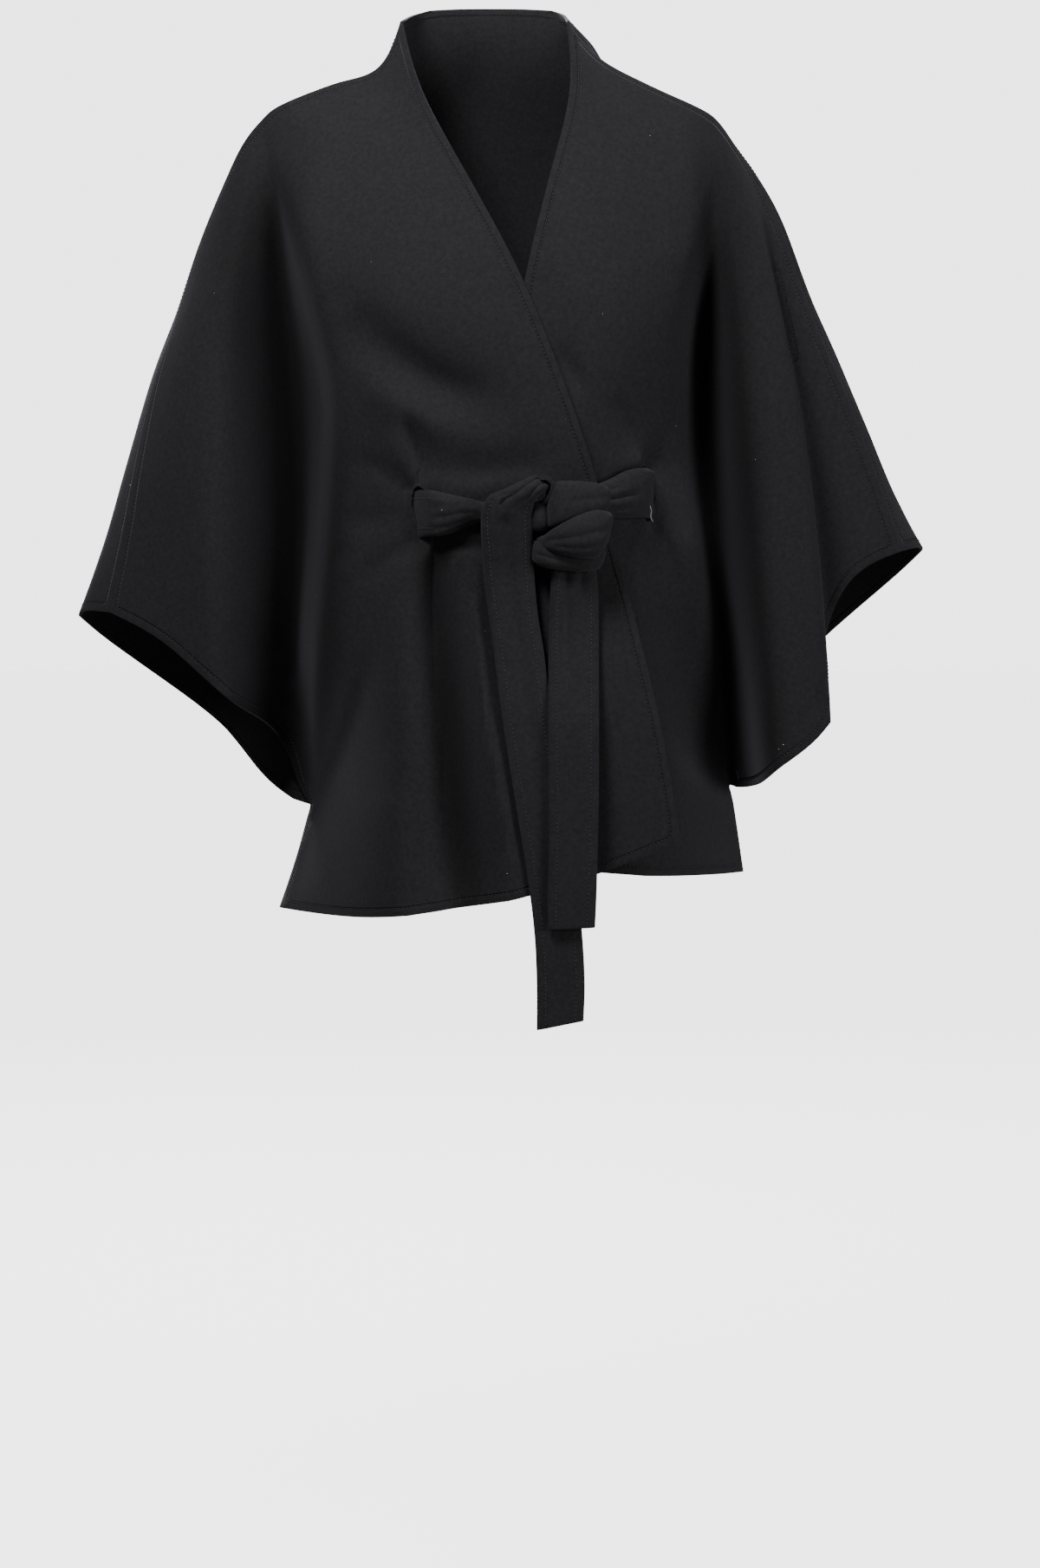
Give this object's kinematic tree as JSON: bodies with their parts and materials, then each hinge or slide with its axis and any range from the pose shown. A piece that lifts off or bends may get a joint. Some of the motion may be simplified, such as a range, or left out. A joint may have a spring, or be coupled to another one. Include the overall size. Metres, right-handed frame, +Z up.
{
  "type": "kimono jacket",
  "caption": "Short kimono-cut jacket in thick felted wool, worn and hollow: stand collar, cape-like sleeves, fronts wrapped right over left, knotted tie belt through two slots.",
  "frame": {"origin": "middle of the shoulder line at the base of the neck, where the wearer holds the jacket up", "axes": "+Z up, the jacket's front faces -Y, the wearer's left is +X"},
  "size_m": [0.7661, 0.3277, 0.9064],
  "materials": {
    "wool": "matt black felted double-faced wool with a short fuzzy nap",
    "belt_wool": "the same wool, two layers topstitched along both edges"
  },
  "bodies": {
    "root": {"right_front": "wool", "left_front": "wool", "back": "wool", "belt": "belt_wool", "belt_end_long": "belt_wool", "belt_end_short": "belt_wool", "knot_top": "belt_wool", "knot_wrap": "belt_wool", "knot_fold": "belt_wool"}
  },
  "joints": []
}
